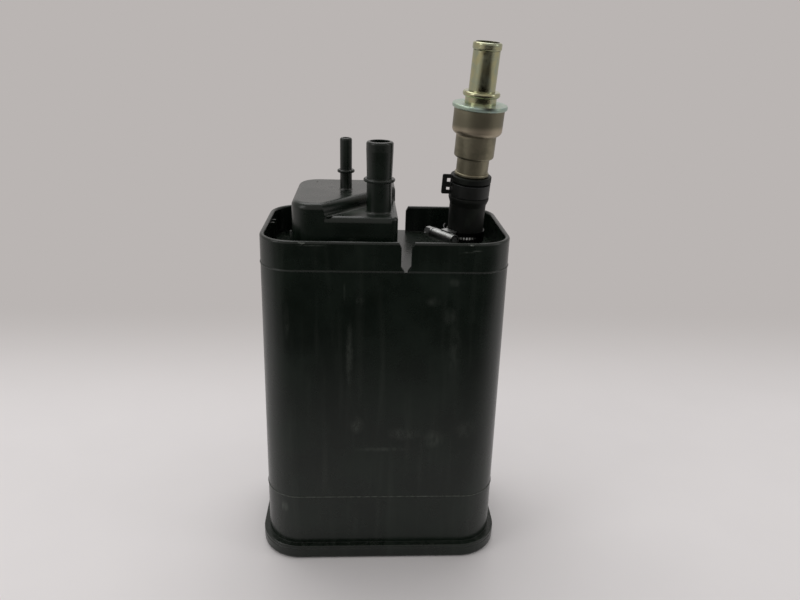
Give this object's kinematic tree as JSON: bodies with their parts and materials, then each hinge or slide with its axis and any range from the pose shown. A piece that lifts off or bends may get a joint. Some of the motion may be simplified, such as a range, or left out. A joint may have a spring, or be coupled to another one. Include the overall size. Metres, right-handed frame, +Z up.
{
  "type": "charcoal canister",
  "caption": "Tall black moulded fuel-vapour canister with an open top well, a vapour dome with two hose ports, and a clamped fresh-air hose that ends in a plated metal tube.",
  "frame": {"origin": "middle of the base, where the bottom cover rests", "axes": "+Z up along the tall case, +X along the wide side towards the fresh-air hose, -Y the front shown in the picture"},
  "size_m": [0.1694, 0.1068, 0.3459],
  "materials": {
    "case_plastic": "moulded black nylon, satin",
    "carbon": "granular activated carbon",
    "felt": "needled felt",
    "plate_plastic": "moulded natural nylon",
    "spring_steel": "drawn wire",
    "hose_rubber": "matt extruded rubber",
    "zinc_steel": "zinc plated, pale grey",
    "black_steel": "black phosphated spring steel",
    "satin_metal": "turned, satin taupe plating",
    "yellow_zinc": "yellow passivated zinc plating"
  },
  "bodies": {
    "root": {"case": "case_plastic", "bottom_cover": "case_plastic", "carbon_bed_main": "carbon", "carbon_bed_vent": "carbon", "top_filter_main": "felt", "top_filter_vent": "felt", "bottom_filter_main": "felt", "bottom_filter_vent": "felt", "pressure_plate_main": "plate_plastic", "pressure_plate_vent": "plate_plastic", "spring_main_left": "spring_steel", "spring_main_right": "spring_steel", "spring_vent": "spring_steel", "vent_hose": "hose_rubber", "worm_clamp_band": "zinc_steel", "worm_clamp_housing": "zinc_steel", "worm_clamp_screw": "zinc_steel", "spring_clamp": "black_steel", "fitting_body": "satin_metal", "fitting_flange": "yellow_zinc", "fitting_tube": "yellow_zinc"}
  },
  "joints": []
}
